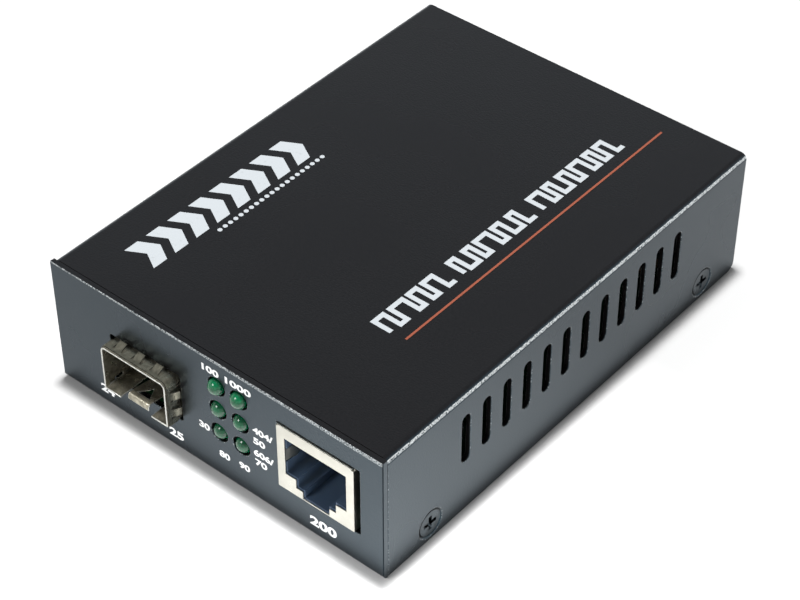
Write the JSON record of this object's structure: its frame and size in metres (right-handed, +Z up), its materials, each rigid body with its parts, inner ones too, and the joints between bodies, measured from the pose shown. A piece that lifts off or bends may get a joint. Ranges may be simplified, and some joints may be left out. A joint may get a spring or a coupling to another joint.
{
  "type": "fibre media converter",
  "caption": "Small steel box that joins a pluggable optical port and a twisted-pair port, with indicator lamps, side vents and a rear power inlet.",
  "frame": {"origin": "middle of the case's underside, on the surface it stands on", "axes": "+X to the right seen from the front, -Y out of the front panel, +Z up"},
  "size_m": [0.07, 0.0981, 0.0256],
  "materials": {
    "powder_coat": "satin black powder coat with a fine grain",
    "black_screw": "black oxide",
    "board": "green solder mask",
    "brass": "turned brass",
    "zinc_screw": "zinc plate",
    "nickel": "nickel-plated copper alloy",
    "tin": "matte tin plate",
    "gold": "gold flash",
    "black_moulding": "black moulding",
    "jack_moulding": "dark blue-black moulding",
    "chip_moulding": "epoxy moulding",
    "capacitor_sleeve": "shrunk sleeve",
    "chip_part": "ceramic",
    "white_print": "screen ink",
    "orange_print": "screen ink",
    "green_lens": "tinted epoxy lens"
  },
  "bodies": {
    "case": {"base_tray": "powder_coat", "top_cover": "powder_coat", "cover_screws": "black_screw", "circuit_board": "board", "board_posts": "brass", "board_screws": "zinc_screw", "sfp_cage_shell": "nickel", "sfp_cage_floor": "nickel", "sfp_collar": "nickel", "sfp_host_connector": "black_moulding", "sfp_host_contacts": "gold", "rj45_shield": "tin", "rj45_housing": "jack_moulding", "rj45_small_board": "board", "rj45_magnetics": "black_moulding", "rj45_tails": "tin", "lamp_holder": "black_moulding", "lamp_leads": "tin", "dc_inlet_housing": "black_moulding", "dc_inlet_pin": "nickel", "dc_inlet_spring": "nickel", "converter_chip": "chip_moulding", "converter_chip_leads": "tin", "memory_chip": "chip_moulding", "memory_chip_leads": "tin", "crystal_can": "tin", "regulator": "chip_moulding", "power_coil": "chip_moulding", "input_diode": "chip_moulding", "electrolytic_capacitors": "capacitor_sleeve", "chip_parts": "chip_part", "print_emblem": "white_print", "print_pulses": "white_print", "print_stripe": "orange_print", "lamp_left_top": "green_lens", "lamp_left_middle": "green_lens", "lamp_left_bottom": "green_lens", "lamp_right_top": "green_lens", "lamp_right_middle": "green_lens", "lamp_right_bottom": "green_lens"},
    "jack_contacts": {"rj45_contact_wires": "gold"}
  },
  "joints": [
    {"name": "contact_wires_flex", "type": "hinge", "parent": "case", "child": "jack_contacts", "pos_m": [0.02165, -0.04275, 0.01923], "axis": [1, 0, 0], "range_deg": [0, 12], "stiffness_Nm_per_rad": 0.04}
  ]
}
